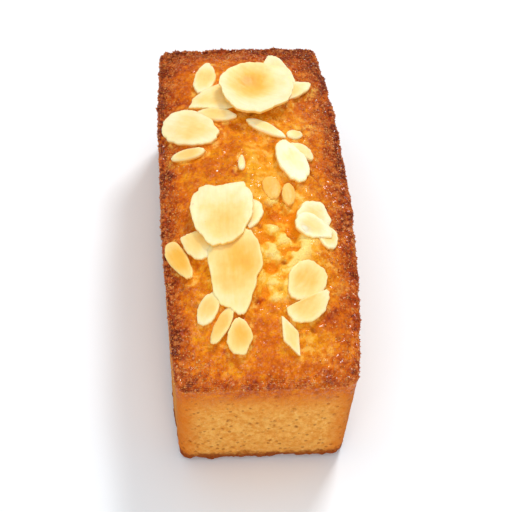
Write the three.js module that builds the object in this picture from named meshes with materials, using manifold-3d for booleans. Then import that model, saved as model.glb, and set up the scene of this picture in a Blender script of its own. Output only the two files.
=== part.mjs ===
// A financier: a small bar-shaped almond cake, baked in a mould with sloping walls,
// with sliced almonds baked onto its domed top.
// Millimetres, +Z up, +Y along the bar. The origin is on the table, under the middle of the cake.
import * as THREE from 'three';
import { mergeVertices } from 'three/addons/utils/BufferGeometryUtils.js';
import Module from 'manifold-3d';

// The cake's driving dimensions.
const TOP_LENGTH = 83.4;      // along the rim, end to end
const END_WIDTH = 32.2;       // across the rim at the two ends, on average
const BARREL = 1.8;           // how far each long side swells out at mid-length
const FLARE = 0.45;           // how much wider than average, each way, the -Y end is
const BOW = 0.6;              // how far the two ends are bent towards -X
const SKEW = 0.25;            // how far the +Y end leans towards -X, and the -Y end towards +X
const END_BARREL = 0.3;       // how far each end swells out at mid-width
const RIM_HEIGHT = 25.5;      // at the four corners
const SIDE_RISE = 2.4;        // how much higher the rim is halfway along a long side
const DOME_RISE = 4.4;        // the dome's top above that rim
const DOME_POWER_ACROSS = 2.3;  // higher powers make the dome flatter on top and steeper at the rim
const DOME_POWER_ALONG = 3;
const WALL_TAPER = 1.2;       // how far each wall leans in from the rim to the table
const CORNER_RADIUS = 2.0;    // the upright corners
const RIM_RADIUS = 1.0;       // the rounding over the rim
const FOOT_RADIUS = 1.3;      // the rounding at the table

// Unevenness of the crust: the size of the lumps and how far they stand out.
const LUMP_SIZE = 7;
const LUMP_HEIGHT = 0.5;
const CRUMB_SIZE = 3.2;
const CRUMB_HEIGHT = 0.28;
const WALL_LUMP_HEIGHT = 0.3;
const LUMP_LAYER = 1.5;       // the layers of the noise that the lumps, the crumbs and the slices'
const CRUMB_LAYER = 7.5;      // outlines are read from
const OUTLINE_LAYER_STEP = 3.7;

// The split along the dome, where the batter broke open: its route and its form.
const SPLIT_FROM = -29;       // along the bar
const SPLIT_TO = 17;
const SPLIT_ACROSS = 3.0;     // its middle, off the bar's centre line
const SPLIT_WANDER = 2.4;     // how far it weaves to each side
const SPLIT_WAVE = 7.6;       // how far along it weaves, for one radian
const SPLIT_PHASE = 2.36;
const SPLIT_FADE = 8;         // the length over which it closes at each end
const SPLIT_HALF_WIDTH = 3.2;
const SPLIT_DEPTH = 0.9;
const LIP_SHARE = 0.5;        // the height of its raised lips, as a part of its depth
const LIP_OUT = 1.6;          // their distance from its middle, in half widths
const LIP_SHARPNESS = 3;

// Lumps of torn crumb, which rise above the dome, and hollows, which sink below it.
const SPOTS = [
  { across: 2.4, along: -11.4, reach: 2.0, rise: 0.9 },
  { across: 4.2, along: -16.0, reach: 2.2, rise: 0.8 },
  { across: 1.6, along: -15.5, reach: 1.6, rise: 0.5 },
  { across: 3.0, along: -21.5, reach: 2.2, rise: 0.5 },
  { across: 1.0, along: 7.2, reach: 2.0, rise: 0.4 },
  { across: 3.4, along: 1.0, reach: 1.8, rise: 0.4 },
  { across: 3.1, along: -6.2, reach: 1.8, rise: -0.8 },
  { across: -1.3, along: -25.2, reach: 1.1, rise: -1.0 },
  { across: -1.8, along: 16.6, reach: 1.8, rise: -0.5 },
];

// The grid of the cake's surface.
const CELLS_ACROSS = 22;
const CELLS_ALONG = 48;
const WALL_ROWS = 4;
const ROUNDING_ROWS = 3;

// Sliced almonds.
const SLICE_THICKNESS = 1.0;
const SLICE_SUNK = 0.12;      // how deep a slice that lies on the cake is baked in
const SECTOR_LENGTH = 1.6;    // along a slice's edge
const EDGE_START = 0.86;      // where its rounded edge begins, as a part of its half width
const MIDDLE_START = 0.45;    // where its flat middle begins
const EDGE_LEVEL = -0.1;      // the height of the edge: -1 is the lower face and 1 the upper one
const SHOULDER_LEVEL = 0.95;  // the height of the upper face where the edge begins
const ROOT_LEVEL = -4.2;      // the lowest point of the batter under it, which joins it to the cake
const FEWEST_SECTORS = 10;
const EDGE_WANDER = 0.05;     // how uneven its outline is

// Each slice: its middle across and along the bar, its length and width, the way its narrow end
// points (degrees from +X), how far it stands up along (pitch) and across (roll) its length in
// degrees, how much its edge curls up, and how high it lies on others. egg narrows one end, point
// sharpens both, and each of the breaks is a direction (degrees from +X) and the distance from its
// middle at which the slice broke off straight.
const SLICES = [
  { across: -8, along: 30.2, long: 9.4, wide: 4.2, turn: 79,
    pitch: 3, roll: 4, curl: 0.1, lift: 0.1, point: 1.2 },
  { across: 5.9, along: 30.2, long: 11.4, wide: 7, turn: 94,
    pitch: 7, curl: 0.2, lift: 0.5, egg: 0.4, point: 1.2 },
  { across: -4.7, along: 23.6, long: 15.3, wide: 8, turn: 204,
    pitch: 1, roll: 2, curl: 0.1, lift: 0.2, egg: 0.1, point: 1.1, breaks: [[-106, 4]] },
  { across: 7.8, along: 25.2, long: 11.6, wide: 4.4, turn: 30,
    pitch: 5, curl: 0.2, lift: 0.4, egg: 0.3, point: 1.2 },
  { across: 1.3, along: 23.2, long: 14.2, wide: 14.8, turn: -32,
    roll: 3, curl: 2.3, lift: 0.9, egg: -0.1, point: 1.06, breaks: [[95, 6.8]] },
  { across: -11.3, along: 15.9, long: 12.8, wide: 8, turn: 144,
    pitch: 2, roll: -2, curl: 0.2, lift: 0.2, egg: -0.2, point: 1.06, breaks: [[-10, 6.2], [43, 4.1]] },
  { across: -6.5, along: 18.5, long: 8.5, wide: 2.7, turn: -14,
    roll: 14, curl: 0.1, lift: 0.2, egg: 0.1, point: 1.2 },
  { across: 2.9, along: 14.1, long: 8.8, wide: 2.1, turn: -33,
    roll: 12, curl: 0.1, lift: 0.2, egg: 0.2, point: 1.2 },
  { across: 8.2, along: 13, long: 3.4, wide: 2.2, turn: 10,
    roll: 6, lift: 0.1, egg: 0.2, point: 1.1 },
  { across: 7, along: 6.1, long: 11.1, wide: 5.5, turn: -73,
    roll: 6, curl: 0.2, lift: 0.3, egg: -0.1, point: 1, breaks: [[43, 2.7], [105, 4.9], [-113, 4.6]] },
  { across: 9.2, along: 8.8, long: 5.5, wide: 3, turn: -29,
    roll: 8, lift: 0.1, egg: 0.1, point: 1.2 },
  { across: -12.2, along: 9.5, long: 7, wide: 2.3, turn: 178,
    roll: -8, curl: 0.1, lift: 0.1, egg: 0.05, point: 1.1 },
  { across: -2.4, along: 5.4, long: 3.8, wide: 1.4, turn: 85,
    roll: 10, lift: 0.1, egg: 0.2, point: 1.2 },
  { across: 2.9, along: -0.7, long: 5.4, wide: 3.4, turn: -84,
    lift: -0.4, egg: 0.1, point: 0.95 },
  { across: 6, along: -2.1, long: 5.2, wide: 2.6, turn: 86,
    roll: 2, lift: -0.3, point: 1.1 },
  { across: 10, along: -7.5, long: 6.3, wide: 9, turn: 149,
    pitch: 3, roll: 4, curl: 0.2, lift: 0.3, egg: 0.1, point: 0.9, breaks: [[103, 3.7], [22, 3.5]] },
  { across: 9.8, along: -10.2, long: 7.6, wide: 4.8, turn: -22,
    roll: 6, curl: 0.3, lift: 0.7, egg: 0.2, point: 0.9, breaks: [[-82, 2.3]] },
  { across: 12.4, along: -11.6, long: 5.4, wide: 4.2, turn: -80,
    pitch: 3, curl: 0.1, lift: 0.3, egg: 0.2, point: 0.9, breaks: [[80, 2.6]] },
  { across: -2.4, along: -7.7, long: 8.4, wide: 5.4, turn: -124,
    curl: 0.1, lift: 0.2, egg: 0.1, point: 1.1 },
  { across: -14.9, along: -15, long: 9.9, wide: 3.5, turn: 116,
    roll: 3, curl: 0.2, lift: 0.2, egg: -0.15, point: 0.95 },
  { across: -11.6, along: -12.3, long: 9.5, wide: 5, turn: 116,
    curl: 0.2, lift: 0.6, egg: 0.1, point: 1.05, breaks: [[100, 2.2]] },
  { across: -5, along: -19.6, long: 19.5, wide: 10, turn: -91,
    pitch: -1, roll: 1, curl: 0.3, lift: 0.5, egg: 0.2, point: 1.15, breaks: [[-20, 4.5], [-125, 7.2]] },
  { across: -6.6, along: -7, long: 16.3, wide: 11.8, turn: 87,
    pitch: -3, roll: 1, curl: 0.5, lift: 1.0, egg: -0.17, point: 1, breaks: [[91, 6.5], [4, 6], [-95, 7.8]] },
  { across: -10.2, along: -26.6, long: 6.8, wide: 3.9, turn: -115,
    roll: 5, curl: 0.1, lift: 0.2, point: 1, breaks: [[-138, 3.3]] },
  { across: -8, along: -30.2, long: 7.9, wide: 2.8, turn: -120,
    roll: 10, curl: 0.1, lift: 0.2, point: 1 },
  { across: -4.9, along: -32.5, long: 7.1, wide: 4.8, turn: -89,
    roll: 3, curl: 0.2, lift: 0.3, egg: -0.28, point: 0.97, breaks: [[54, 2.9], [-25, 2.3]] },
  { across: 4.4, along: -33, long: 9, wide: 8.4, turn: -79,
    roll: -5, lift: 0.2, point: 1, breaks: [[182, 1.6], [2, 1.3], [42, 1.7], [-136, 1.5]] },
  { across: 7.7, along: -21.8, long: 9.1, wide: 7, turn: -120,
    curl: 0.3, lift: 0.1, egg: 0.05, point: 0.95 },
  { across: 7.5, along: -26.3, long: 9.9, wide: 6.9, turn: 48,
    roll: 2, curl: 0.3, lift: 0.6, point: 1.03, breaks: [[119, 0.7]] },
];
const HUG = 0.55;             // how closely a slice follows the dome under it
const NORMAL_STEP = 0.5;      // the distance over which the dome's slope is measured

// A repeatable number from 0 to 1 for each point of a lattice.
function latticeValue(i, j, k) {
  const wave = Math.sin(i * 127.1 + j * 311.7 + k * 74.7) * 43758.5453;
  return wave - Math.floor(wave);
}

// Smooth noise from -1 to 1: the lattice's values, eased into each other.
function noise(x, y, z) {
  const cell = [x, y, z].map(Math.floor);
  const ease = [x, y, z].map((value, axis) => THREE.MathUtils.smoothstep(value - cell[axis], 0, 1));
  let sum = 0;
  for (let corner = 0; corner < 8; corner += 1) {
    const [di, dj, dk] = [corner & 1, (corner >> 1) & 1, corner >> 2];
    const weight = (di ? ease[0] : 1 - ease[0]) * (dj ? ease[1] : 1 - ease[1]) * (dk ? ease[2] : 1 - ease[2]);
    sum += weight * latticeValue(cell[0] + di, cell[1] + dj, cell[2] + dk);
  }
  return 2 * sum - 1;
}

// The rim's height, at v of the half length.
function rimHeight(v) {
  return RIM_HEIGHT + SIDE_RISE * (1 - v * v);
}

// How far the bar's middle line lies off the Y axis.
function middleLine(v) {
  return -BOW * v * v - SKEW * v;
}

// The half width and half length at a height, moved in by an inset.
function halfWidth(v, height, inset) {
  const swell = BARREL * (1 - v * v) - FLARE * v;
  return END_WIDTH / 2 + swell - WALL_TAPER * (1 - height / RIM_HEIGHT) - inset;
}

function halfLength(u, height, inset) {
  return TOP_LENGTH / 2 - END_BARREL * u * u - WALL_TAPER * (1 - height / RIM_HEIGHT) - inset;
}

// The place of a unit square's point in the cake's outline at a height: the square is stretched,
// and each corner square of it is bent into a quarter disc.
function outlinePoint(u, v, height, inset) {
  const a = halfWidth(v, height, inset);
  const b = halfLength(u, height, inset);
  const radius = CORNER_RADIUS - inset;
  const p = (Math.abs(u) * a - (a - radius)) / radius;
  const q = (Math.abs(v) * b - (b - radius)) / radius;
  if (p <= 0 || q <= 0) return [middleLine(v) + u * a, v * b];
  const x = a - radius + radius * p * Math.sqrt(1 - q * q / 2);
  const y = b - radius + radius * q * Math.sqrt(1 - p * p / 2);
  return [middleLine(v) + Math.sign(u) * x, Math.sign(v) * y];
}

// The smooth dome's height over a place on the plan.
function domeHeight(x, y) {
  const v = THREE.MathUtils.clamp(y / halfLength(0, RIM_HEIGHT, RIM_RADIUS), -1, 1);
  const u = THREE.MathUtils.clamp((x - middleLine(v)) / halfWidth(v, RIM_HEIGHT, RIM_RADIUS), -1, 1);
  const dome = (1 - Math.abs(u) ** DOME_POWER_ACROSS) * (1 - Math.abs(v) ** DOME_POWER_ALONG);
  return rimHeight(v) + DOME_RISE * dome;
}

function domeNormal(x, y) {
  const slopeX = (domeHeight(x + NORMAL_STEP, y) - domeHeight(x - NORMAL_STEP, y)) / (2 * NORMAL_STEP);
  const slopeY = (domeHeight(x, y + NORMAL_STEP) - domeHeight(x, y - NORMAL_STEP)) / (2 * NORMAL_STEP);
  return new THREE.Vector3(-slopeX, -slopeY, 1).normalize();
}

// How far the top stands above or below the smooth dome: lumps, the split with its broken lips,
// and the single lumps and hollows.
function topRelief(x, y) {
  const lumps = LUMP_HEIGHT * noise(x / LUMP_SIZE, y / LUMP_SIZE, LUMP_LAYER)
    + CRUMB_HEIGHT * noise(x / CRUMB_SIZE, y / CRUMB_SIZE, CRUMB_LAYER);
  const middle = SPLIT_ACROSS + SPLIT_WANDER * Math.sin(y / SPLIT_WAVE + SPLIT_PHASE);
  const ends = THREE.MathUtils.smoothstep(y, SPLIT_FROM, SPLIT_FROM + SPLIT_FADE)
    * (1 - THREE.MathUtils.smoothstep(y, SPLIT_TO - SPLIT_FADE, SPLIT_TO));
  const offset = (x - middle) / SPLIT_HALF_WIDTH;
  const lips = LIP_SHARE * Math.exp(-((Math.abs(offset) - LIP_OUT) ** 2) * LIP_SHARPNESS);
  const trough = Math.exp(-offset * offset) - lips;
  const spots = SPOTS.reduce((sum, { across, along, reach, rise }) => {
    const away = Math.hypot(x - across, y - along) / reach;
    return sum + rise * Math.exp(-away * away);
  }, 0);
  return lumps - SPLIT_DEPTH * ends * trough + spots;
}

// The cake without its almonds: a flat foot, four walls and a domed top, as one closed grid.
function cakeGeometry() {
  const positions = [];
  const indices = [];
  const addVertex = (x, y, z) => positions.push(x, y, z) / 3 - 1;
  const addQuad = (a, b, c, d) => indices.push(a, b, c, a, c, d);

  // The border of the unit square, walked once round, anticlockwise from above.
  const border = [];
  for (let i = 0; i < CELLS_ACROSS; i += 1) border.push([-1 + 2 * i / CELLS_ACROSS, -1]);
  for (let j = 0; j < CELLS_ALONG; j += 1) border.push([1, -1 + 2 * j / CELLS_ALONG]);
  for (let i = CELLS_ACROSS; i > 0; i -= 1) border.push([-1 + 2 * i / CELLS_ACROSS, 1]);
  for (let j = CELLS_ALONG; j > 0; j -= 1) border.push([-1, -1 + 2 * j / CELLS_ALONG]);

  // Rings from the table up to the rim: the foot's rounding, the wall, the rim's rounding.
  const rings = [];
  for (let row = 0; row <= ROUNDING_ROWS; row += 1) {
    const angle = row / ROUNDING_ROWS * Math.PI / 2;
    const above = FOOT_RADIUS * (1 - Math.cos(angle));
    rings.push({ inset: FOOT_RADIUS * (1 - Math.sin(angle)), above, part: 0 });
  }
  for (let row = 1; row <= WALL_ROWS; row += 1) {
    rings.push({ inset: 0, above: FOOT_RADIUS, part: row / WALL_ROWS });
  }
  for (let row = 1; row < ROUNDING_ROWS; row += 1) {
    const angle = row / ROUNDING_ROWS * Math.PI / 2;
    const above = FOOT_RADIUS + RIM_RADIUS * Math.sin(angle);
    rings.push({ inset: RIM_RADIUS * (1 - Math.cos(angle)), above, part: 1 });
  }

  const ringVertices = rings.map(({ inset, above, part }, ring) => border.map(([u, v]) => {
    const wall = rimHeight(v) - RIM_RADIUS - FOOT_RADIUS;
    const z = above + part * wall;
    const [x, y] = outlinePoint(u, v, z, inset);
    const bump = ring === 0 ? 0 : WALL_LUMP_HEIGHT * noise(x / LUMP_SIZE, y / LUMP_SIZE, z / LUMP_SIZE);
    const scale = 1 + bump / Math.hypot(x, y);
    return addVertex(x * scale, y * scale, z);
  }));

  // The top's grid, whose border closes the rim's rounding.
  const topVertices = [];
  for (let j = 0; j <= CELLS_ALONG; j += 1) {
    const row = [];
    for (let i = 0; i <= CELLS_ACROSS; i += 1) {
      const u = -1 + 2 * i / CELLS_ACROSS;
      const v = -1 + 2 * j / CELLS_ALONG;
      const [x, y] = outlinePoint(u, v, RIM_HEIGHT, RIM_RADIUS);
      row.push(addVertex(x, y, domeHeight(x, y) + topRelief(x, y)));
    }
    topVertices.push(row);
  }
  const topBorder = border.map(([u, v]) => {
    const column = Math.round((u + 1) / 2 * CELLS_ACROSS);
    const row = Math.round((v + 1) / 2 * CELLS_ALONG);
    return topVertices[row][column];
  });

  const allRings = [...ringVertices, topBorder];
  for (let ring = 0; ring + 1 < allRings.length; ring += 1) {
    for (let k = 0; k < border.length; k += 1) {
      const next = (k + 1) % border.length;
      addQuad(allRings[ring][k], allRings[ring][next], allRings[ring + 1][next], allRings[ring + 1][k]);
    }
  }
  for (let j = 0; j < CELLS_ALONG; j += 1) {
    for (let i = 0; i < CELLS_ACROSS; i += 1) {
      addQuad(topVertices[j][i], topVertices[j][i + 1], topVertices[j + 1][i + 1], topVertices[j + 1][i]);
    }
  }
  const footMiddle = addVertex(0, 0, 0);
  for (let k = 0; k < border.length; k += 1) {
    indices.push(footMiddle, ringVertices[0][(k + 1) % border.length], ringVertices[0][k]);
  }
  return indexedGeometry(positions, indices);
}

function indexedGeometry(positions, indices) {
  const geometry = new THREE.BufferGeometry();
  geometry.setAttribute('position', new THREE.Float32BufferAttribute(positions, 3));
  geometry.setIndex(indices);
  return geometry;
}

// The share of the way out to a point of a slice's edge that its breaks leave standing.
function keptShare(x, y, { turn, breaks = [] }) {
  return breaks.reduce((share, [direction, distance]) => {
    const facing = THREE.MathUtils.degToRad(direction - turn);
    const reach = (x * Math.cos(facing) + y * Math.sin(facing)) * share;
    return reach > distance ? share * distance / reach : share;
  }, 1);
}

// One almond slice: rings of points inside its outline, on an upper face that rounds over at the
// edge and on a lower face that runs down into the cake, carried to its place on the dome.
function sliceGeometry(slice, number) {
  const { across, along, long, wide, turn, pitch = 0, roll = 0, curl = 0, lift, egg = 0, point } = slice;
  const sectors = Math.max(FEWEST_SECTORS, Math.round(Math.PI * (long + wide) / 2 / SECTOR_LENGTH));
  const normal = domeNormal(across, along);
  const heading = THREE.MathUtils.degToRad(turn);
  const lengthwise = new THREE.Vector3(Math.cos(heading), Math.sin(heading), 0);
  lengthwise.projectOnPlane(normal).normalize();
  const sideways = new THREE.Vector3().crossVectors(normal, lengthwise);
  const origin = new THREE.Vector3(across, along, domeHeight(across, along));
  const positions = [];
  const indices = [];

  const addPoint = (angle, part, side) => {
    const sine = Math.sin(angle);
    const wander = 1 + EDGE_WANDER * noise(2 * Math.cos(angle), 2 * sine, number * OUTLINE_LAYER_STEP);
    const edgeX = long / 2 * Math.cos(angle) * wander;
    const edgeY = wide / 2 * Math.sign(sine) * Math.abs(sine) ** point * (1 - egg * Math.cos(angle)) * wander;
    const kept = keptShare(edgeX, edgeY, slice);
    const x = edgeX * kept * part;
    const y = edgeY * kept * part;
    const rise = lift - SLICE_SUNK + SLICE_THICKNESS / 2 * (1 + side) + curl * part * part
      + x * Math.tan(THREE.MathUtils.degToRad(pitch)) + y * Math.tan(THREE.MathUtils.degToRad(roll));
    const place = origin.clone().addScaledVector(lengthwise, x).addScaledVector(sideways, y);
    const fall = domeHeight(place.x, place.y) - place.z;
    place.addScaledVector(normal, rise);
    place.z += HUG * fall;
    return positions.push(place.x, place.y, place.z) / 3 - 1;
  };
  const addRing = (part, side) => {
    const ring = [];
    for (let k = 0; k < sectors; k += 1) ring.push(addPoint(2 * Math.PI * k / sectors, part, side));
    return ring;
  };

  const rings = [
    addRing(EDGE_START, -1),
    addRing(1, EDGE_LEVEL),
    addRing(EDGE_START, SHOULDER_LEVEL),
    addRing(MIDDLE_START, 1),
  ];
  const below = addPoint(0, 0, ROOT_LEVEL);
  const above = addPoint(0, 0, 1);
  for (let k = 0; k < sectors; k += 1) {
    const next = (k + 1) % sectors;
    indices.push(below, rings[0][next], rings[0][k]);
    for (let ring = 0; ring + 1 < rings.length; ring += 1) {
      indices.push(rings[ring][k], rings[ring][next], rings[ring + 1][next]);
      indices.push(rings[ring][k], rings[ring + 1][next], rings[ring + 1][k]);
    }
    indices.push(above, rings.at(-1)[k], rings.at(-1)[next]);
  }
  return indexedGeometry(positions, indices);
}

// Splits a mesh into its separate shells and keeps the largest, so that hollows which the slices
// seal are filled and loose scraps are dropped.
function largestShell(vertices, triangles) {
  const parent = Int32Array.from({ length: vertices.length / 3 }, (_, index) => index);
  const root = (index) => {
    let top = index;
    while (parent[top] !== top) top = parent[top];
    while (parent[index] !== top) [parent[index], index] = [top, parent[index]];
    return top;
  };
  for (let t = 0; t < triangles.length; t += 3) {
    parent[root(triangles[t])] = root(triangles[t + 1]);
    parent[root(triangles[t + 1])] = root(triangles[t + 2]);
  }
  const shells = new Map();
  const [a, b, c] = [new THREE.Vector3(), new THREE.Vector3(), new THREE.Vector3()];
  for (let t = 0; t < triangles.length; t += 3) {
    const key = root(triangles[t]);
    if (!shells.has(key)) shells.set(key, { volume: 0, indices: [] });
    const shell = shells.get(key);
    a.fromArray(vertices, 3 * triangles[t]);
    b.fromArray(vertices, 3 * triangles[t + 1]);
    c.fromArray(vertices, 3 * triangles[t + 2]);
    shell.volume += a.dot(b.cross(c)) / 6;
    shell.indices.push(triangles[t], triangles[t + 1], triangles[t + 2]);
  }
  return [...shells.values()].sort((one, other) => other.volume - one.volume)[0].indices;
}

const wasm = await Module();
wasm.setup();

function toManifold(geometry) {
  const merged = mergeVertices(geometry, 1e-4);
  return new wasm.Manifold(new wasm.Mesh({
    numProp: 3,
    vertProperties: merged.getAttribute('position').array,
    triVerts: Uint32Array.from(merged.getIndex().array),
  }));
}

// The cake with every slice joined to it.
function cakeWithAlmonds() {
  let solid = toManifold(cakeGeometry());
  SLICES.forEach((slice, number) => {
    solid = solid.add(toManifold(sliceGeometry(slice, number)));
  });
  const mesh = solid.getMesh();
  const positions = Array.from(mesh.vertProperties);
  const geometry = indexedGeometry(positions, largestShell(positions, mesh.triVerts));
  geometry.computeVertexNormals();
  return geometry;
}

const bakedCrust = new THREE.MeshStandardMaterial({ color: 0xc9762b, roughness: 0.6, metalness: 0 });
const cake = new THREE.Mesh(cakeWithAlmonds(), bakedCrust);
cake.name = 'cake';

const financier = new THREE.Group();
financier.add(cake);
export default financier;
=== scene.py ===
import math
from itertools import product

import bpy
import numpy as np
from mathutils import Matrix, Vector


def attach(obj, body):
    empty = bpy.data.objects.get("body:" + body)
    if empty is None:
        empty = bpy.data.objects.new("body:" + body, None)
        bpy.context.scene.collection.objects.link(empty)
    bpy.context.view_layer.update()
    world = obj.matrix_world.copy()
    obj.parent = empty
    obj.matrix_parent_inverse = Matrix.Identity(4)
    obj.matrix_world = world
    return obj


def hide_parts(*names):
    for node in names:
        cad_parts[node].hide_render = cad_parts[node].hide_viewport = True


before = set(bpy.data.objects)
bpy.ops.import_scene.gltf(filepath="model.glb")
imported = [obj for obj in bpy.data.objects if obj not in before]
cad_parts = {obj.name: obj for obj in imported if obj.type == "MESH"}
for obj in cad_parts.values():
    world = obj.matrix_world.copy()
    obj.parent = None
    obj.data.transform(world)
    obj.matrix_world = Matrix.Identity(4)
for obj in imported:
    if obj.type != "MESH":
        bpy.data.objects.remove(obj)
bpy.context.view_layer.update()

# One financier with sliced almonds, +Y along the bar and +Z up, as the frame has it.
# Sizes are in millimetres until makePiece turns them into Blender's metres.
mm = 0.001


def latticeValue(i, j, k):
    # a repeatable number from 0 to 1 for each point of a lattice
    wave = np.sin(i * 127.1 + j * 311.7 + k * 74.7) * 43758.5453
    return wave - np.floor(wave)


def ease(value, low=0.0, high=1.0):
    # 0 below low, 1 above high, and the curve 3t^2 - 2t^3 between them
    part = np.clip((value - low) / (high - low), 0, 1)
    return part * part * (3 - 2 * part)


def noise(x, y, z, size=1):
    # the eight lattice values round a point, eased into each other, from -1 to 1
    x, y, z = np.broadcast_arrays(x / size, y / size, z / size)
    cellX, cellY, cellZ = np.floor(x), np.floor(y), np.floor(z)
    easeX, easeY, easeZ = ease(x - cellX), ease(y - cellY), ease(z - cellZ)
    total = np.zeros(x.shape)
    for di, dj, dk in product((0, 1), repeat=3):
        weightX = easeX if di else 1 - easeX
        weightY = easeY if dj else 1 - easeY
        weightZ = easeZ if dk else 1 - easeZ
        total += weightX * weightY * weightZ * latticeValue(cellX + di, cellY + dj, cellZ + dk)
    return 2 * total - 1


def roughNoise(x, y, z, size=1, octaves=3):
    # noise, plus half as much at half the size, and so on
    x, y, z = x / size, y / size, z / size
    total = 0
    for octave in range(octaves):
        scale = 2 ** octave
        total = total + noise(x * scale, y * scale, z * scale + 9.3 * octave) / scale
    return total


def nearestGrain(x, y, z, size=1):
    # one point lies somewhere in each cell of that size: the distances to the nearest and the
    # second nearest, in cells, and the nearest one's own value
    x, y, z = x / size, y / size, z / size
    cellX, cellY, cellZ = np.floor(x), np.floor(y), np.floor(z)
    nearest = np.full(x.shape, 9.0)
    second = np.full(x.shape, 9.0)
    value = np.zeros(x.shape)
    for di, dj, dk in product((-1, 0, 1), repeat=3):
        i, j, k = cellX + di, cellY + dj, cellZ + dk
        awayX = i + latticeValue(i, j, k) - x
        awayY = j + latticeValue(i + 17, j, k) - y
        awayZ = k + latticeValue(i, j + 31, k) - z
        distance = np.sqrt(awayX ** 2 + awayY ** 2 + awayZ ** 2)
        closer = distance < nearest
        second = np.minimum(np.maximum(distance, nearest), second)
        value = np.where(closer, latticeValue(i, j, k + 53), value)
        nearest = np.minimum(nearest, distance)
    return nearest, second, value


# The cake's form, as in the solid.
cakeForm = {
    "topLength": 83.4,
    "endWidth": 32.2,
    "barrel": 1.8,  # how far each long side swells out at mid-length
    "flare": 0.45,  # how far each side widens to the near end, and narrows to the far one
    "bow": 0.6,  # how far the two ends are bent to the left
    "skew": 0.25,
    "endBarrel": 0.3,
    "rimHeight": 25.5,  # at the two ends
    "sideRise": 2.4,  # how much higher the rim is halfway along
    "domeRise": 4.4,
    "domePowerAcross": 2.3,  # higher powers make the dome flatter on top and steeper at the rim
    "domePowerAlong": 3,
    "wallTaper": 1.2,
    "cornerRadius": 2.0,
    "rimRadius": 1.0,
    "footRadius": 1.3,
    "lumpSize": 7.0,
    "lumpHeight": 0.5,
    "crumbSize": 3.2,
    "crumbHeight": 0.28,
    "wallLumpHeight": 0.3,
    "lumpLayer": 1.5,
    "crumbLayer": 7.5,
}

# The split along the dome, where the batter broke open: its route and its form.
split = {
    "from": -29.0,
    "to": 17.0,
    "across": 3.0,
    "wander": 2.4,  # how far it weaves to each side
    "wave": 7.6,  # the length of one radian of its weave
    "phase": 2.36,
    "fade": 8.0,  # the length over which it closes at each end
    "halfWidth": 3.2,
    "depth": 0.9,
    "lipShare": 0.5,  # the lips' height, as a part of the depth
    "lipOut": 1.6,  # their distance from the middle, in half widths
    "lipSharpness": 3.0,
}

# Lumps of torn crumb, which rise above the dome, and hollows, which sink below it. crumb above 0
# shows the pale inside there, and below 0 it browns the place more.
spots = [
    {"across": 2.4, "along": -11.4, "reach": 2.0, "rise": 0.9, "crumb": 1.0},
    {"across": 4.2, "along": -16.0, "reach": 2.2, "rise": 0.8, "crumb": 1.0},
    {"across": 1.6, "along": -15.5, "reach": 1.6, "rise": 0.5, "crumb": 0.6},
    {"across": 3.0, "along": -21.5, "reach": 2.2, "rise": 0.5, "crumb": 0.6},
    {"across": 1.0, "along": 7.2, "reach": 2.0, "rise": 0.4, "crumb": 0.4},
    {"across": 3.4, "along": 1.0, "reach": 1.8, "rise": 0.4, "crumb": 0.4},
    {"across": 3.1, "along": -6.2, "reach": 1.8, "rise": -0.8, "crumb": -1.0},
    {"across": -1.3, "along": -25.2, "reach": 1.1, "rise": -1.0, "crumb": -1.2},
    {"across": -1.8, "along": 16.6, "reach": 1.8, "rise": -0.5, "crumb": -0.6},
]

# Small scorched places, each across, along and its reach, and the wide ones where butter glazed the
# crust golden: flat, so they are in the colours alone.
scorches = [(3.9, 11.0, 1.2), (-3.9, 3.4, 1.0), (12.2, -27.6, 1.6), (-7.2, 11.4, 1.2), (4.9, -0.8, 0.8),
            (6.0, -8.2, 0.9), (4.4, -13.6, 0.7), (-6.5, 14.0, 1.3), (-12.6, 24.5, 1.6), (13.2, -12.5, 1.2)]
glazes = [
    {"across": 2.5, "along": 5.0, "wide": 4.2, "long": 11.0, "amount": 0.9},
    {"across": 8.0, "along": 15.0, "wide": 4.0, "long": 4.5, "amount": 0.55},
    {"across": 8.5, "along": -20.5, "wide": 5.0, "long": 6.5, "amount": 0.85},
    {"across": 2.5, "along": -17.0, "wide": 6.0, "long": 9.0, "amount": 0.6},
    {"across": 8.0, "along": -34.0, "wide": 5.0, "long": 3.6, "amount": 0.6},
    {"across": -9.0, "along": -22.0, "wide": 5.0, "long": 7.0, "amount": 0.35},
    {"across": -3.0, "along": 29.0, "wide": 7.0, "long": 4.0, "amount": 0.35},
    {"across": -1.0, "along": 18.5, "wide": 5.0, "long": 3.0, "amount": 0.7},
    {"across": 8.0, "along": -8.0, "wide": 4.0, "long": 9.0, "amount": 0.6},
]


def rimHeight(v):
    # a low arch along the length; u across and v along run from -1 to 1 over the whole cake
    return cakeForm["rimHeight"] + cakeForm["sideRise"] * (1 - v * v)


def middleLine(v):
    # the bar is bent and skewed a little, so its middle line wanders off +Y
    return -cakeForm["bow"] * v * v - cakeForm["skew"] * v


def halfWidth(v, height, inset):
    # swollen at mid-length and flared, less the wall's lean at a height and an inset for roundings
    lean = cakeForm["wallTaper"] * (1 - height / cakeForm["rimHeight"])
    swell = cakeForm["barrel"] * (1 - v * v) - cakeForm["flare"] * v
    return cakeForm["endWidth"] / 2 + swell - lean - inset


def halfLength(u, height, inset):
    # the same lengthwise, with each end swollen by its own small arch
    lean = cakeForm["wallTaper"] * (1 - height / cakeForm["rimHeight"])
    return cakeForm["topLength"] / 2 - cakeForm["endBarrel"] * u * u - lean - inset


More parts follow.
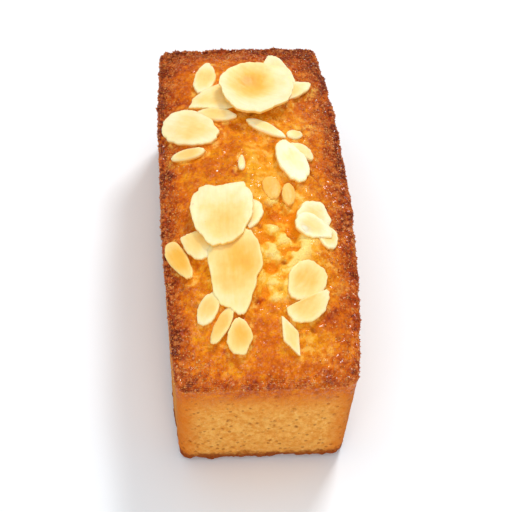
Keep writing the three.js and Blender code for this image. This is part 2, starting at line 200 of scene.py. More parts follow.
def outlinePoints(u, v, height, inset):
    # a unit square stretched to the cake's outline, each corner square of it bent into a quarter
    # disc: p and q run over that corner square, and p sqrt(1 - q^2/2), q sqrt(1 - p^2/2) bends it
    a = halfWidth(v, height, inset)
    b = halfLength(u, height, inset)
    radius = cakeForm["cornerRadius"] - inset
    p = (np.abs(u) * a - (a - radius)) / radius
    q = (np.abs(v) * b - (b - radius)) / radius
    corner = (p > 0) & (q > 0)
    p, q = np.where(corner, p, 0), np.where(corner, q, 0)
    x = np.where(corner, np.sign(u) * (a - radius + radius * p * np.sqrt(1 - q * q / 2)), u * a)
    y = np.where(corner, np.sign(v) * (b - radius + radius * q * np.sqrt(1 - p * p / 2)), v * b)
    return x + middleLine(v), y


def domeHeight(x, y):
    # the rim's height at that part of the length, and a dome that falls to 0 at the rim
    v = np.clip(y / halfLength(0, cakeForm["rimHeight"], cakeForm["rimRadius"]), -1, 1)
    u = np.clip((x - middleLine(v)) / halfWidth(v, cakeForm["rimHeight"], cakeForm["rimRadius"]), -1, 1)
    dome = (1 - np.abs(u) ** cakeForm["domePowerAcross"]) * (1 - np.abs(v) ** cakeForm["domePowerAlong"])
    return rimHeight(v) + cakeForm["domeRise"] * dome


def splitReach(x, y):
    # how far across the split a place is, in half widths, and how open the split is there
    middle = split["across"] + split["wander"] * np.sin(y / split["wave"] + split["phase"])
    opening = ease(y, split["from"], split["from"] + split["fade"])
    opening *= 1 - ease(y, split["to"] - split["fade"], split["to"])
    return (x - middle) / split["halfWidth"], opening


def spotShare(x, y, spot):
    # a bell over the spot, 1 at its middle
    return np.exp(-((x - spot["across"]) ** 2 + (y - spot["along"]) ** 2) / spot["reach"] ** 2)


def topRelief(x, y):
    # lumps of two sizes, the split's trough with a lip on each side, and the single spots
    lumpSize, crumbSize = cakeForm["lumpSize"], cakeForm["crumbSize"]
    lumps = cakeForm["lumpHeight"] * noise(x / lumpSize, y / lumpSize, cakeForm["lumpLayer"])
    lumps += cakeForm["crumbHeight"] * noise(x / crumbSize, y / crumbSize, cakeForm["crumbLayer"])
    offset, opening = splitReach(x, y)
    lips = split["lipShare"] * np.exp(-split["lipSharpness"] * (np.abs(offset) - split["lipOut"]) ** 2)
    relief = lumps - split["depth"] * opening * (np.exp(-offset * offset) - lips)
    for spot in spots:
        relief = relief + spot["rise"] * spotShare(x, y, spot)
    return relief


# The almond slices' form, as in the solid.
sliceForm = {
    "thickness": 1.0,
    "sunk": 0.12,  # how deep a slice that lies on the cake is baked in
    "edgeWander": 0.05,  # how uneven its outline is
    "hug": 0.55,  # how closely it follows the dome under it
    "slopeStep": 0.5,  # the distance over which the dome's slope is measured
    "layerStep": 3.7,
}


def almond(across, along, long, wide, turn, **more):
    # one slice as in the solid: its middle, length and width, and the way its narrow end points.
    # pitch and roll tilt it along and across its length, curl raises its edge and lift all of it,
    # egg narrows one end, point sharpens both, breaks are the directions and distances at which it
    # broke off straight, tone goes from pale to golden, and blush is the place and the strength of
    # its toasted patch, off its middle, which on the bowl-like slice is partly painted shade in its hollow
    usual = {"pitch": 0, "roll": 0, "curl": 0, "lift": 0.1, "egg": 0, "point": 1,
             "breaks": [], "blush": None}
    place = {"across": across, "along": along, "long": long, "wide": wide, "turn": turn}
    return {**usual, **place, **more}


slices = [
    almond(-8, 30.2, 9.4, 4.2, 79, pitch=3, roll=4, curl=0.1, point=1.2, tone=0.3),
    almond(5.9, 30.2, 11.4, 7, 94, pitch=7, curl=0.2, lift=0.5, egg=0.4, point=1.2, tone=0.2),
    almond(-4.7, 23.6, 15.3, 8, 204, pitch=1, roll=2, curl=0.1, lift=0.2, egg=0.1, point=1.1,
           breaks=[(-106, 4)], tone=0.4),
    almond(7.8, 25.2, 11.6, 4.4, 30, pitch=5, curl=0.2, lift=0.4, egg=0.3, point=1.2, tone=0.3),
    # the bowl-like slice: its strong golden patch, up in its hollow, is partly painted shade
    almond(1.3, 23.2, 14.2, 14.8, -32, roll=3, curl=2.3, lift=0.9, egg=-0.1, point=1.06,
           breaks=[(95, 6.8)], tone=0.25, blush=(-1, 3.4, 1.3)),
    almond(-11.3, 15.9, 12.8, 8, 144, pitch=2, roll=-2, curl=0.2, lift=0.2, egg=-0.2, point=1.06,
           breaks=[(-10, 6.2), (43, 4.1)], tone=0.3),
    almond(-6.5, 18.5, 8.5, 2.7, -14, roll=14, curl=0.1, lift=0.2, egg=0.1, point=1.2, tone=0.4),
    almond(2.9, 14.1, 8.8, 2.1, -33, roll=12, curl=0.1, lift=0.2, egg=0.2, point=1.2, tone=0.2),
    almond(8.2, 13, 3.4, 2.2, 10, roll=6, egg=0.2, point=1.1, tone=0.3),
    almond(7, 6.1, 11.1, 5.5, -73, roll=6, curl=0.2, lift=0.3, egg=-0.1,
           breaks=[(43, 2.7), (105, 4.9), (-113, 4.6)], tone=0),
    almond(9.2, 8.8, 5.5, 3, -29, roll=8, egg=0.1, point=1.2, tone=0.3),
    almond(-12.2, 9.5, 7, 2.3, 178, roll=-8, curl=0.1, egg=0.05, point=1.1, tone=0.4),
    almond(-2.4, 5.4, 3.8, 1.4, 85, roll=10, egg=0.2, point=1.2, tone=0.2),
    almond(2.9, -0.7, 5.4, 3.4, -84, lift=-0.4, egg=0.1, point=0.95, tone=0.85),
    almond(6, -2.1, 5.2, 2.6, 86, roll=2, lift=-0.3, point=1.1, tone=0.8),
    almond(10, -7.5, 6.3, 9, 149, pitch=3, roll=4, curl=0.2, lift=0.3, egg=0.1, point=0.9,
           breaks=[(103, 3.7), (22, 3.5)], tone=0.15),
    almond(9.8, -10.2, 7.6, 4.8, -22, roll=6, curl=0.3, lift=0.7, egg=0.2, point=0.9,
           breaks=[(-82, 2.3)], tone=0.1),
    almond(12.4, -11.6, 5.4, 4.2, -80, pitch=3, curl=0.1, lift=0.3, egg=0.2, point=0.9,
           breaks=[(80, 2.6)], tone=0.35),
    almond(-2.4, -7.7, 8.4, 5.4, -124, curl=0.1, lift=0.2, egg=0.1, point=1.1, tone=0.45),
    almond(-14.9, -15, 9.9, 3.5, 116, roll=3, curl=0.2, lift=0.2, egg=-0.15, point=0.95, tone=0.75),
    almond(-11.6, -12.3, 9.5, 5, 116, curl=0.2, lift=0.6, egg=0.1, point=1.05,
           breaks=[(100, 2.2)], tone=0.45),
    almond(-5, -19.6, 19.5, 10, -91, pitch=-1, roll=1, curl=0.3, lift=0.5, egg=0.2, point=1.15,
           breaks=[(-20, 4.5), (-125, 7.2)], tone=0.58, blush=(1.4, 1.5, 0.6)),
    almond(-6.6, -7, 16.3, 11.8, 87, pitch=-3, roll=1, curl=0.5, lift=1, egg=-0.17,
           breaks=[(91, 6.5), (4, 6), (-95, 7.8)], tone=0.4, blush=(1.2, -3.5, 0.45)),
    almond(-10.2, -26.6, 6.8, 3.9, -115, roll=5, curl=0.1, lift=0.2, breaks=[(-138, 3.3)], tone=0.5),
    almond(-8, -30.2, 7.9, 2.8, -120, roll=10, curl=0.1, lift=0.2, tone=0.6),
    almond(-4.9, -32.5, 7.1, 4.8, -89, roll=3, curl=0.2, lift=0.3, egg=-0.28, point=0.97,
           breaks=[(54, 2.9), (-25, 2.3)], tone=0.65),
    almond(4.4, -33, 9, 8.4, -79, roll=-5, lift=0.2,
           breaks=[(182, 1.6), (2, 1.3), (42, 1.7), (-136, 1.5)], tone=0.4),
    almond(7.7, -21.8, 9.1, 7, -120, curl=0.3, lift=0.1, egg=0.05, point=0.95, tone=0.6),
    almond(7.5, -26.3, 9.9, 6.9, 48, roll=2, curl=0.3, lift=0.6, point=1.03, breaks=[(119, 0.7)], tone=0.5),
]


def sliceAxes(flake):
    # a flake is one slice's dictionary; this gives the slice's middle on the dome, its
    # lengthwise and sideways directions, and the dome's normal
    x, y, step = flake["across"], flake["along"], sliceForm["slopeStep"]
    slopeX = (domeHeight(x + step, y) - domeHeight(x - step, y)) / (2 * step)
    slopeY = (domeHeight(x, y + step) - domeHeight(x, y - step)) / (2 * step)
    normal = np.array([-slopeX, -slopeY, 1.0])
    normal /= np.linalg.norm(normal)
    heading = math.radians(flake["turn"])
    lengthwise = np.array([math.cos(heading), math.sin(heading), 0.0])
    lengthwise -= normal * (lengthwise @ normal)
    lengthwise /= np.linalg.norm(lengthwise)
    return np.array([x, y, domeHeight(x, y)]), lengthwise, np.cross(normal, lengthwise), normal


def sliceEdge(flake, number, angle):
    # the outline at an angle: an ellipse, narrowed to one end by 1 - egg cos, sharpened at both by
    # raising the sine to a power, and made uneven by noise
    sine, cosine = np.sin(angle), np.cos(angle)
    wander = 1 + sliceForm["edgeWander"] * noise(2 * cosine, 2 * sine, number * sliceForm["layerStep"])
    x = flake["long"] / 2 * cosine * wander
    y = flake["wide"] / 2 * np.sign(sine) * np.abs(sine) ** flake["point"]
    y = y * (1 - flake["egg"] * cosine) * wander
    # where it broke off straight: what reaches past a distance in a direction is drawn in to it
    for direction, distance in flake["breaks"]:
        facing = math.radians(direction - flake["turn"])
        reach = np.maximum(x * math.cos(facing) + y * math.sin(facing), distance)
        x, y = x * distance / reach, y * distance / reach
    return x, y


def slicePlace(flake, x, y, part, height):
    # a point of the slice, x and y along and across it, at a height over its underside: tilted,
    # curled up by the square of its part of the way to the edge, and partly following the dome
    origin, lengthwise, sideways, normal = sliceAxes(flake)
    rise = flake["lift"] - sliceForm["sunk"] + height + flake["curl"] * part ** 2
    rise = rise + x * math.tan(math.radians(flake["pitch"]))
    rise = rise + y * math.tan(math.radians(flake["roll"]))
    place = origin + x[..., None] * lengthwise + y[..., None] * sideways
    fall = domeHeight(place[..., 0], place[..., 1]) - place[..., 2]
    place = place + rise[..., None] * normal
    place[..., 2] += sliceForm["hug"] * fall
    return place


def addObject(name, data):
    made = bpy.data.objects.new(name, data)
    bpy.context.scene.collection.objects.link(made)
    return made


def makePiece(name, points, faces, looks, material):
    # points are in millimetres, faces is a list of index arrays, four or three wide, and looks
    # holds what the material reads, one value for each point
    mesh = bpy.data.meshes.new(name)
    mesh.vertices.add(len(points))
    mesh.vertices.foreach_set("co", (points * mm).astype(np.float32).ravel())
    corners = np.concatenate([part.ravel() for part in faces]).astype(np.int32)
    counts = np.concatenate([np.full(len(part), part.shape[1]) for part in faces])
    starts = np.concatenate([[0], np.cumsum(counts)[:-1]]).astype(np.int32)
    mesh.loops.add(len(corners))
    mesh.loops.foreach_set("vertex_index", corners)
    mesh.polygons.add(len(starts))
    mesh.polygons.foreach_set("loop_start", starts)
    mesh.update(calc_edges=True)
    mesh.shade_smooth()
    for key, values in looks.items():
        layer = mesh.attributes.new(key, "FLOAT", "POINT")
        layer.data.foreach_set("value", values.astype(np.float32))
    mesh.materials.append(material)
    piece = addObject(name, mesh)
    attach(piece, "root")
    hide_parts("cake")
    print(name, len(points), "points,", int((counts - 2).sum()), "triangles")


def gridQuads(rows, columns, closed=False):
    # the quads of a grid of points numbered row by row; closed joins the last column to the first
    index = np.arange(rows * columns).reshape(rows, columns)
    right = np.roll(index, -1, axis=1)
    last = columns if closed else columns - 1
    a, b = index[:-1, :last], right[:-1, :last]
    c, d = right[1:, :last], index[1:, :last]
    return np.stack([a, b, c, d], axis=-1).reshape(-1, 4)


def pointNormals(points, faces):
    # each point's normal: the sum of the normals of the faces round it
    total = np.zeros(points.shape)
    for part in faces:
        first, second, last = points[part[:, 0]], points[part[:, 1]], points[part[:, -1]]
        facing = np.cross(second - first, last - first)
        for corner in range(part.shape[1]):
            for axis in range(3):
                total[:, axis] += np.bincount(part[:, corner], facing[:, axis], len(points))
    return total / np.maximum(np.linalg.norm(total, axis=1, keepdims=True), 1e-9)


bodyGrid = {
    "cellsAcross": 128,
    "cellsAlong": 280,
    "wallRows": 54,
    "roundingRows": 6,
    "footRings": 4,
}


def smoothBody():
    # the closed surface: rings of points from the foot's middle out, up the wall and over the rim,
    # whose last ring is the border of the top's grid
    across, along = bodyGrid["cellsAcross"], bodyGrid["cellsAlong"]
    u = np.linspace(-1, 1, across + 1)
    v = np.linspace(-1, 1, along + 1)
    columns = np.concatenate([np.arange(across), np.full(along, across),
                              np.arange(across, 0, -1), np.zeros(along, int)])
    rows = np.concatenate([np.zeros(across, int), np.arange(along),
                           np.full(across, along), np.arange(along, 0, -1)])
    borderU, borderV = u[columns], v[rows]

    rings = []
    footX, footY = outlinePoints(borderU, borderV, 0, cakeForm["footRadius"])
    for step in np.linspace(0.02, 0.98, bodyGrid["footRings"]) ** 0.7:
        rings.append((footX * step, footY * step, footX * 0))
    angles = np.linspace(0, math.pi / 2, bodyGrid["roundingRows"] + 1)
    foot, rim = cakeForm["footRadius"], cakeForm["rimRadius"]
    wallParts = np.linspace(0, 1, bodyGrid["wallRows"] + 1)[1:]
    levels = [(foot * (1 - math.sin(a)), foot * (1 - math.cos(a)), 0) for a in angles]
    levels += [(0, foot, part) for part in wallParts]
    levels += [(rim * (1 - math.cos(a)), foot + rim * math.sin(a), 1) for a in angles[1:-1]]
    wallHeight = rimHeight(borderV) - rim - foot
    for inset, above, part in levels:
        z = above + part * wallHeight
        x, y = outlinePoints(borderU, borderV, z, inset)
        bump = cakeForm["wallLumpHeight"] * noise(x, y, z, cakeForm["lumpSize"]) * (above > 0)
        scale = 1 + bump / np.hypot(x, y)
        rings.append((x * scale, y * scale, z))
    ringPoints = np.array(rings).transpose(0, 2, 1)
    ringCount = len(borderU)

    gridU, gridV = np.meshgrid(u, v)
    topX, topY = outlinePoints(gridU, gridV, cakeForm["rimHeight"], cakeForm["rimRadius"])
    topZ = domeHeight(topX, topY) + topRelief(topX, topY)
    topPoints = np.stack([topX, topY, topZ], axis=-1).reshape(-1, 3)

    middle = np.array([[0.0, 0.0, 0.0]])
    points = np.concatenate([middle, ringPoints.reshape(-1, 3), topPoints])
    firstTop = 1 + ringPoints.shape[0] * ringCount
    topBorder = firstTop + rows * (across + 1) + columns
    walls = gridQuads(ringPoints.shape[0], ringCount, closed=True) + 1
    lastRing = 1 + (ringPoints.shape[0] - 1) * ringCount + np.arange(ringCount)
    join = np.stack([lastRing, np.roll(lastRing, -1), np.roll(topBorder, -1), topBorder], axis=-1)
    top = gridQuads(along + 1, across + 1) + firstTop
    first = 1 + np.arange(ringCount)
    centre = np.stack([np.zeros(ringCount, int), np.roll(first, -1), first], axis=-1)
    return points, [walls, join, top, centre], firstTop


crustLook = {
    "grainSize": 1.0,
    "grainHeight": 0.24,
    "fineSize": 0.55,
    "fineHeight": 0.12,
    "lumpSize": 2.2,
    "lumpHeight": 0.34,
    "clumpSize": 1.3,
    "cragSize": 2.1,
    "cragHeight": 1.1,
    "bubbleSpacing": 2.9,
    "bubbleRadius": 0.26,  # as a part of the spacing
    "bubbleShare": 0.28,
    "bubbleDepth": 0.45,
    "batterReach": 0.6,  # how high the batter rises to meet a slice
    "batterWidth": 1.5,  # how far round a slice it glistens
}

browningLook = {
    "backBand": 5.5,  # how fast the dark rim fades inwards, on each side
    "frontBand": 3.2,
    "leftBand": 2.8,
    "rightBand": 4.6,
    "rimWidth": 0.8,
    "blotchSize": 5.5,
    "blotchPull": 0.35,  # how far the blotches widen and narrow the rim
    "middle": 0.36,  # from here on, how much each adds, or takes away where it is glazed
    "atEdge": 0.5,
    "atBack": 0.1,
    "blotches": 0.12,
    "glazed": 0.24,
    "scorched": 0.3,
}

wallLook = {
    "crumbSize": 1.1,
    "crumbHeight": 0.08,
    "poreSize": 1.7,
    "poreDepth": 0.4,
    "footSize": 1.6,
    "footHeight": 0.34,
    "footTop": 2.6,
    "crustReach": 8.0,  # how far below the rim the crust fades into crumb
    "crustRagged": 0.9,
    "crustLobe": 2.2,
    "browning": 0.56,
}


def sliceCover(points, flake, number):
    # how far out of the slice's middle each point lies, 1 on its edge, and how high the slice's
    # underside is over the dome there
    origin, lengthwise, sideways, _ = sliceAxes(flake)
    away = points - origin
    x, y = away @ lengthwise, away @ sideways
    angle = np.arctan2(y / flake["wide"], x / flake["long"])
    edgeX, edgeY = sliceEdge(flake, number, angle)
    part = np.hypot(x, y) / np.maximum(np.hypot(edgeX, edgeY), 0.1)
    inside = np.minimum(part, 1.3)
    underside = slicePlace(flake, x, y, inside, np.zeros(x.shape))
    return part, underside[:, 2] - domeHeight(points[:, 0], points[:, 1])


def settleBatter(points, relief):
    # the batter rises to meet a slice's underside and stays below its upper face; glazed is 1 at a
    # slice's edge and falls to 0 at the batter's width from it
    covered, glazed = np.zeros(len(points)), np.zeros(len(points))
    for number, flake in enumerate(slices):
        half = min(flake["long"], flake["wide"]) / 2
        reach = max(flake["long"], flake["wide"]) / 2 + 2.5
        near = np.hypot(points[:, 0] - flake["across"], points[:, 1] - flake["along"]) < reach
        part, underside = sliceCover(points[near], flake, number)
        under = 1 - ease(part, 0.9, 1.18)  # from just inside the slice's edge to a little outside
        lifted = np.clip(underside + 0.1 - relief[near], 0, crustLook["batterReach"])
        sunk = np.clip(relief[near] - underside - 0.3, 0, None) * (1 - ease(part, 0.93, 1.06))
        relief[near] += lifted * under - sunk
        covered[near] = np.maximum(covered[near], under)
        ring = 1 - ease((part - 1) * half, 0.0, crustLook["batterWidth"])
        glazed[near] = np.maximum(glazed[near], ring)
    return relief, covered, glazed


def crustBrowning(x, y, z, fromSide, fromEnd):
    # strongest at the rim, in bands as wide as on the real cake, weaker along the front and towards
    # the front of the right side; golden where glazed, and darker in the scorches
    look = browningLook
    blotch = roughNoise(x, y, z, look["blotchSize"])

    def rimBand(share, distance, width):
        inwards = np.maximum(distance - look["rimWidth"], 0) / width
        return share * np.exp(-inwards * (1 + look["blotchPull"] * blotch))

    sideShare = np.where(x > 0, 0.6 + 0.4 * ease(y, -30, -5), 0.95)
    endShare = np.where(y > 0, 0.9, 0.55)
    side = rimBand(sideShare, fromSide, np.where(x > 0, look["rightBand"], look["leftBand"]))
    end = rimBand(endShare, fromEnd, np.where(y > 0, look["backBand"], look["frontBand"]))
    edge = 1 - (1 - side) * (1 - end)
    glaze = np.zeros(x.shape)
    for place in glazes:
        away = ((x - place["across"]) / place["wide"]) ** 2 + ((y - place["along"]) / place["long"]) ** 2
        glaze = np.maximum(glaze, place["amount"] * np.exp(-away * (1 + 0.5 * blotch)))
    scorch = np.zeros(x.shape)
    for across, along, reach in scorches:
        scorch = np.maximum(scorch, np.exp(-((x - across) ** 2 + (y - along) ** 2) / reach ** 2))
    browning = look["middle"] + look["atEdge"] * edge + look["blotches"] * blotch
    browning += look["scorched"] * scorch - look["glazed"] * glaze + look["atBack"] * edge * ease(y, 5, 38)
    return np.clip(browning, 0, 1), edge, glaze


def tornCrumb(x, y, browning):
    # where the pale inside shows: a bell across the open split and on the lumps beside it; the
    # hollows are browned instead
    offset, opening = splitReach(x, y)
    torn = 1.1 * opening * np.exp(-(offset / 1.5) ** 2) * (1 + 0.35 * noise(x / 3, y / 3, 4.2))
    torn *= ease(-y, -6, 8)
    for spot in spots:
        share = spotShare(x, y, spot)
        torn = torn + spot["crumb"] * share
        browning = browning + max(-spot["crumb"], 0) * 0.4 * share
    return np.clip(torn, 0, 1), browning


def grainDome(away, value):
    # round over the grain's middle, and some grains higher than others
    return np.clip(1 - 1.5 * away ** 2, 0, 1) * (0.4 + 0.6 * value)


def roundPit(away, radius, kept):
    # 1 at the pit's middle, falling with the square of the distance, where a pit is kept
    return np.clip(1 - (away / radius) ** 2, 0, 1) * kept


def topCrust(x, y, z, edge, glaze, torn):
    # round grains of two sizes, most of them at the rim, soft lumps inside it, clumps, crags where
    # it is torn, and small pits where bubbles broke
    look = crustLook
    fineSize, bubbleSpacing, cragSize = look["fineSize"], look["bubbleSpacing"], look["cragSize"]
    away, second, ownGrain = nearestGrain(x, y, z, look["grainSize"])
    grain = grainDome(away, ownGrain) * ease(second - away, 0, 0.25)
    away, _, value = nearestGrain(x / fineSize + 7, y / fineSize, z / fineSize)
    fineGrain = grainDome(away, value)
    crag = np.clip(0.5 + 0.8 * roughNoise(x / cragSize, y / cragSize, z / cragSize + 3), 0, 1.1)
    away, _, value = nearestGrain(x / bubbleSpacing + 40, y / bubbleSpacing, z / bubbleSpacing)
    bubble = roundPit(away, look["bubbleRadius"], value > 1 - look["bubbleShare"])
    lump = roughNoise(x, y, z, look["lumpSize"], octaves=2)
    clump = roughNoise(x, y, z, look["clumpSize"], octaves=2)
    grainy = np.clip(0.6 + 0.5 * edge - 0.3 * glaze, 0.1, 1) * (1 - 0.6 * torn)
    relief = (look["grainHeight"] * grain + look["fineHeight"] * fineGrain) * grainy
    relief += look["lumpHeight"] * lump * (1 - 0.6 * edge) + look["cragHeight"] * (crag - 0.4) * torn
    relief += (0.1 + 0.16 * edge) * clump * (1 - torn) - look["bubbleDepth"] * bubble
    grains = np.clip(0.65 * grain + 0.5 * fineGrain, 0, 1)
    return relief, {"grain": grains, "ownGrain": ownGrain, "crag": crag, "bubble": bubble, "clump": clump}


def wallCrumb(x, y, z):
    # fine crumb with open pores, more of them low down, and a ragged foot
    look = wallLook
    size = look["poreSize"]
    away, _, value = nearestGrain(x / size, y / size, z / size + 11)
    low = 1 - ease(z, 3, 19)
    shadedPore = roundPit(away, 0.12 + 0.2 * value, value > 0.66 - 0.3 * low)
    relief = look["crumbHeight"] * roughNoise(x, y, z, look["crumbSize"]) - look["poreDepth"] * shadedPore
    ragged = look["footHeight"] * roughNoise(x, y, z, look["footSize"])
    relief += ragged * (1 - ease(z, 0.6, look["footTop"])) - 0.05
    return relief, shadedPore


def dressedBody():
    # each point of the smooth cake moved out along its normal by its relief, with what the
    # material reads there
    points, faces, firstTop = smoothBody()
    normals = pointNormals(points, faces)
    x, y, z = points.T
    onTop = np.arange(len(points)) >= firstTop
    v = np.clip(y / halfLength(0, z, 0), -1, 1)
    fromSide = halfWidth(v, z, 0) - np.abs(x - middleLine(v))
    fromEnd = halfLength(0, z, 0) - np.abs(y)
    fromRim = rimHeight(v) - z

    browning, edge, glaze = crustBrowning(x, y, z, fromSide, fromEnd)
    torn, browning = tornCrumb(x, y, browning)
    torn = torn * onTop
    browning = np.clip(browning - 0.25 * torn, 0, 1)
    topRise, crust = topCrust(x, y, z, edge, glaze, torn)
    browning = browning + (0.1 + 0.1 * edge) * crust["clump"]
    wallRise, shadedPore = wallCrumb(x, y, z)

    # the top's relief runs over the rim onto the wall, and the crust's lower edge there is ragged
    rimNear = 1 - ease(fromRim, 0.3, 1.6)
    wallRise = wallRise * (1 - rimNear) + (topRise + 0.1) * rimNear
    ragged = wallLook["crustRagged"] * roughNoise(x, y, z, wallLook["crustLobe"])
    crustDown = 1 - ease(fromRim + ragged, 0.6, wallLook["crustReach"])
    total = np.where(onTop, topRise, wallRise)

    # the top's height over the smooth dome, settled round the almonds
    overDome = (z - domeHeight(x, y) + total)[onTop]
    settled, covered, glazed = settleBatter(points[onTop], overDome.copy())
    total[onTop] += settled - overDome
    cover, ring = np.zeros(len(points)), np.zeros(len(points))
    cover[onTop], ring[onTop] = covered, glazed
    footFlat = np.where(normals[:, 2] < -0.98, 0.0, 1.0)
    points = points + normals * (total * footFlat)[:, None]
    points[:, 2] = np.maximum(points[:, 2], 0)

    longSide = ease(np.abs(normals[:, 0]), 0.35, 0.85)
    # the long sides are a little browner: painted shade
    onWall = wallLook["browning"] + 0.08 * longSide + 0.1 * roughNoise(x, y, z, 3)
    wallBrowning = onWall + (browning - onWall) * (1 - ease(fromRim, 0.2, 1.2))
    looks = {
        "browning": np.where(onTop, np.clip(browning, 0, 1.1), wallBrowning),
        "torn": torn,
        "wall": np.where(onTop, 0.0, 1 - crustDown),
        "pit": np.where(onTop, crust["bubble"], shadedPore),
        "grain": crust["grain"],
        "ownGrain": crust["ownGrain"],
        "crag": crust["crag"],
        "edge": np.where(onTop, edge, edge * (1 - ease(fromRim, 0.2, 2.0))),
        "glaze": np.clip(np.maximum(glaze, 0.55 * ring), 0, 1),
        "cover": cover,
        "level": z,
        "fromCorner": np.maximum(fromSide, 0) + np.maximum(fromEnd, 0),
        "longSide": longSide,
    }
    return points, faces, looks, normals


sliceGrid = {
    "sectors": 88,
    "upperRings": 12,
    "lowerRings": 3,
    "bevel": 0.16,
    "thinning": 0.22,  # how much thinner it is at its edge
    "warp": 0.24,  # on a slice 12 mm across
    "chips": 0.055,  # how ragged its edge is
    "blushReach": 0.24,  # the toasted patch, on the bowl-like slice partly painted shade, as a part of the slice's length
}


def sliceRings(flake):
    # each ring's part of the way out and its height: out along the underside, up the cut edge, which
    # is rounded a little above and below, and in again over the upper face
    bevel = min(sliceGrid["bevel"] / (min(flake["wide"], flake["long"]) / 2), 0.2)
    rounded = 1 - bevel * (1 - math.sqrt(0.5))
    lower = [(part, 0.0) for part in np.linspace(0.3, 1 - bevel, sliceGrid["lowerRings"])]
    cutEdge = [(rounded, 0.06), (1.0, 0.22), (1.0, 0.5), (1.0, 0.78), (rounded, 0.94), (1 - bevel, 1.0)]
    upper = [(part, 1.0) for part in np.linspace(1 - 1.7 * bevel, 0.08, sliceGrid["upperRings"])]
    return np.array(lower + cutEdge + upper)


def oneSlice(flake, number):
    # a closed surface of such rings, with a point in the middle of its underside and one on top
    rings = sliceRings(flake)
    angle = np.linspace(0, 2 * math.pi, sliceGrid["sectors"], endpoint=False)
    edgeX, edgeY = sliceEdge(flake, number, angle)
    chips = 1 + sliceGrid["chips"] * roughNoise(4.5 * np.cos(angle), 4.5 * np.sin(angle), number * 1.9)
    part = rings[:, [0]] * np.ones_like(angle)
    height = rings[:, [1]] * np.ones_like(angle)
    x, y = np.pad((part * edgeX * chips).ravel(), 1), np.pad((part * edgeY * chips).ravel(), 1)
    part = np.pad(part.ravel(), 1)
    height = np.concatenate([[0.0], height.ravel(), [1.0]])
    # thinner to the edge, warped as a whole, with faint ripples along its upper face
    size = math.sqrt(flake["long"] * flake["wide"]) / 12
    warp = sliceGrid["warp"] * size * noise(x / 4.5 + 3.1 * number, y / 3.5, 0.5) * (1 - 0.4 * part)
    ripple = 0.04 * noise(x / 2.2 + 5 * number, y / 0.9, 0.5) + 0.02 * noise(x / 0.8, y / 0.5, number)
    thickness = sliceForm["thickness"] * (1 - sliceGrid["thinning"] * part ** 4)
    level = height * (thickness + ripple * (1 - part ** 6)) + warp
    points = slicePlace(flake, x, y, part, level)
    # its toasted patch, on the bowl-like slice partly painted shade in its hollow, a bell about half as wide
    # as the slice is long: its place and strength
    chance = [latticeValue(number, float(draw), 8.0) - 0.5 for draw in (1, 2)]
    besideX, besideY, strength = flake["blush"] or (*chance, 0.4)
    reach = sliceGrid["blushReach"] * flake["long"] + 0.8
    patch = ((points[:, 0] - flake["across"] - besideX) / reach) ** 2
    patch = patch + ((points[:, 1] - flake["along"] - besideY) / reach) ** 2
    looks = {
        "part": part,
        "cut": np.where(part > 0.99, 1.0, 0.0) * (height < 0.7),
        "tone": np.full(len(points), flake["tone"]),
        "lengthwise": x,
        "sideways": y,
        "blush": strength * np.exp(-patch),
        "ownValue": np.full(len(points), latticeValue(number, 3.0, 5.0)),
    }
    quads = gridQuads(len(rings), len(angle), closed=True) + 1
    first = 1 + np.arange(len(angle))
    last = first + (len(rings) - 1) * len(angle)
    below = np.stack([np.zeros_like(first), np.roll(first, -1), first], axis=-1)
    above = np.stack([np.full_like(last, len(points) - 1), last, np.roll(last, -1)], axis=-1)
    return points, quads, np.concatenate([below, above]), looks


def almondSlices():
    # all slices as one mesh
    made = [oneSlice(flake, number) for number, flake in enumerate(slices)]
    counts = [len(points) for points, *_ in made]
    bases = np.cumsum([0] + counts[:-1])
    points = np.concatenate([one[0] for one in made])
    quads = np.concatenate([one[1] + base for one, base in zip(made, bases)])
    ends = np.concatenate([one[2] + base for one, base in zip(made, bases)])
    looks = {key: np.concatenate([one[3][key] for one in made]) for key in made[0][3]}
    return points, [quads, ends], looks


grainLook = {
    "count": 8000,
    "smallest": 0.08,
    "largest": 0.22,
    "above": 0.35,  # how far its middle stands out, in radii
    "seed": 11,
}


def crustGrains(bodyPoints, bodyNormals, looks):
    # eight-faced grains, each point moved at random, partly sunk in the crust where it is browned
    random = np.random.default_rng(grainLook["seed"])
    corners = np.array([(1, 0, 0), (-1, 0, 0), (0, 1, 0), (0, -1, 0), (0, 0, 1), (0, 0, -1)], float)
    triangles = np.array([(0, 2, 4), (2, 1, 4), (1, 3, 4), (3, 0, 4),
                          (2, 0, 5), (1, 2, 5), (3, 1, 5), (0, 3, 5)])
    onCrust = (looks["wall"] < 0.35) & (looks["cover"] < 0.05) & (looks["torn"] < 0.4)
    chance = onCrust * (0.02 + ease(looks["edge"], 0.2, 0.9)) * (1 - 0.6 * looks["glaze"])
    chosen = random.choice(len(bodyPoints), grainLook["count"], replace=False, p=chance / chance.sum())
    count = len(chosen)
    spread = grainLook["largest"] - grainLook["smallest"]
    radius = grainLook["smallest"] + spread * random.random(count) ** 3
    # a random turn for each, from two perpendicular unit vectors
    one = random.normal(size=(count, 3))
    one /= np.linalg.norm(one, axis=1, keepdims=True)
    two = np.cross(one, random.normal(size=(count, 3)))
    two /= np.linalg.norm(two, axis=1, keepdims=True)
    turns = np.stack([one, two, np.cross(one, two)], axis=1)
    shape = corners[None] * (0.75 + 0.5 * random.random((count, len(corners), 1)))
    shape = np.einsum("nij,njk->nik", shape, turns)
    middles = bodyPoints[chosen] + bodyNormals[chosen] * (radius * grainLook["above"])[:, None]
    points = (middles[:, None] + shape * radius[:, None, None]).reshape(-1, 3)
    faces = (triangles[None] + len(corners) * np.arange(count)[:, None, None]).reshape(-1, 3)
    grainLooks = {
        "browning": np.repeat(looks["browning"][chosen], len(corners)),
        "ownValue": np.repeat(random.random(count), len(corners)),
    }
    return points, [faces], grainLooks


